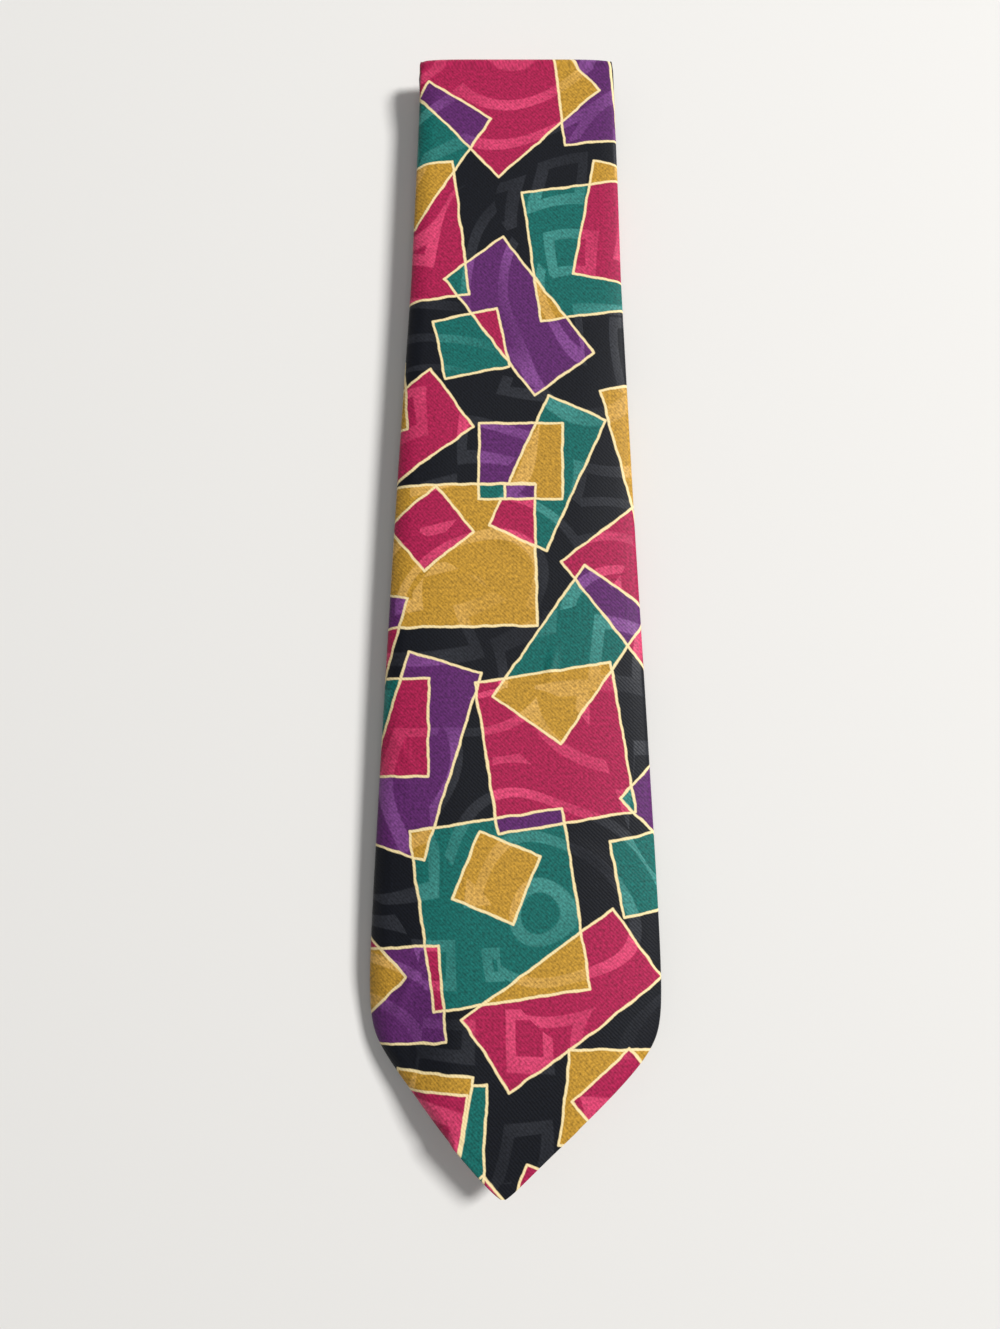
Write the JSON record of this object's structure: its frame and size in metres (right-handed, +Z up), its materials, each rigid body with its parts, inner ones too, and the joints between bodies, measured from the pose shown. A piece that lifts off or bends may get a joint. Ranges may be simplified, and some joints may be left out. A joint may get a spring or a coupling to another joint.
{
  "type": "necktie",
  "caption": "Pointed silk necktie with a printed pattern, interlined and tipped, folded in four, with folds that open flat.",
  "frame": {"origin": "middle of the folded tie's outline, on the surface that it lies on", "axes": "+Z up out of the printed front leaf; +Y along the tie from the front tip to the top fold; +X to the right as the tip points towards the viewer"},
  "size_m": [0.094, 0.38, 0.0132],
  "materials": {
    "printed_silk": "printed jacquard silk, soft sheen",
    "wool_canvas": "brushed wool, matt",
    "black_satin": "satin, soft gloss",
    "silk_thread": "twisted thread, satin",
    "label_satin": "woven damask, satin",
    "care_tape": "taffeta tape, low sheen"
  },
  "bodies": {
    "neck_leaf": {"blade_shell_neck_end": "printed_silk", "neck_piece_shell": "printed_silk", "tail_shell_neck_end": "printed_silk", "neck_interlining": "wool_canvas", "neck_slip_stitch": "silk_thread", "blade_seam_thread": "silk_thread", "tail_seam_thread": "silk_thread", "neck_fold_shell": "printed_silk", "neck_fold_interlining": "wool_canvas", "neck_fold_slip_stitch": "silk_thread", "tail_fold_shell": "printed_silk", "tail_fold_interlining": "wool_canvas", "tail_fold_slip_stitch": "silk_thread"},
    "second_leaf": {"second_leaf_shell": "printed_silk", "second_interlining": "wool_canvas", "second_slip_stitch": "silk_thread", "blade_fold_shell": "printed_silk", "blade_fold_interlining": "wool_canvas", "blade_fold_slip_stitch": "silk_thread"},
    "front_leaf": {"front_blade_shell": "printed_silk", "front_interlining": "wool_canvas", "front_tipping": "black_satin", "front_slip_stitch": "silk_thread", "front_bar_tack": "silk_thread", "label": "label_satin", "label_stitches_left": "silk_thread", "label_stitches_right": "silk_thread", "keeper_loop": "printed_silk", "keeper_stitches_left": "silk_thread", "keeper_stitches_right": "silk_thread"},
    "tail_leaf": {"tail_shell": "printed_silk", "tail_interlining": "wool_canvas", "tail_tipping": "black_satin", "tail_slip_stitch": "silk_thread", "tail_bar_tack": "silk_thread", "care_label": "care_tape", "care_label_stitches": "silk_thread"}
  },
  "joints": [
    {"name": "neck_fold", "type": "hinge", "parent": "neck_leaf", "child": "second_leaf", "pos_m": [0, -0.16553, 0.0066], "axis": [1, 0, 0], "range_deg": [0, 180], "deforming": ["neck_fold_shell", "neck_fold_interlining", "neck_fold_slip_stitch"]},
    {"name": "blade_fold", "type": "hinge", "parent": "second_leaf", "child": "front_leaf", "pos_m": [0, 0.18971, 0.01], "axis": [-1, 0, 0], "range_deg": [0, 180], "deforming": ["blade_fold_shell", "blade_fold_interlining", "blade_fold_slip_stitch"]},
    {"name": "tail_fold", "type": "hinge", "parent": "neck_leaf", "child": "tail_leaf", "pos_m": [0, 0.18571, 0.0032], "axis": [1, 0, 0], "range_deg": [0, 180], "deforming": ["tail_fold_shell", "tail_fold_interlining", "tail_fold_slip_stitch"]}
  ]
}
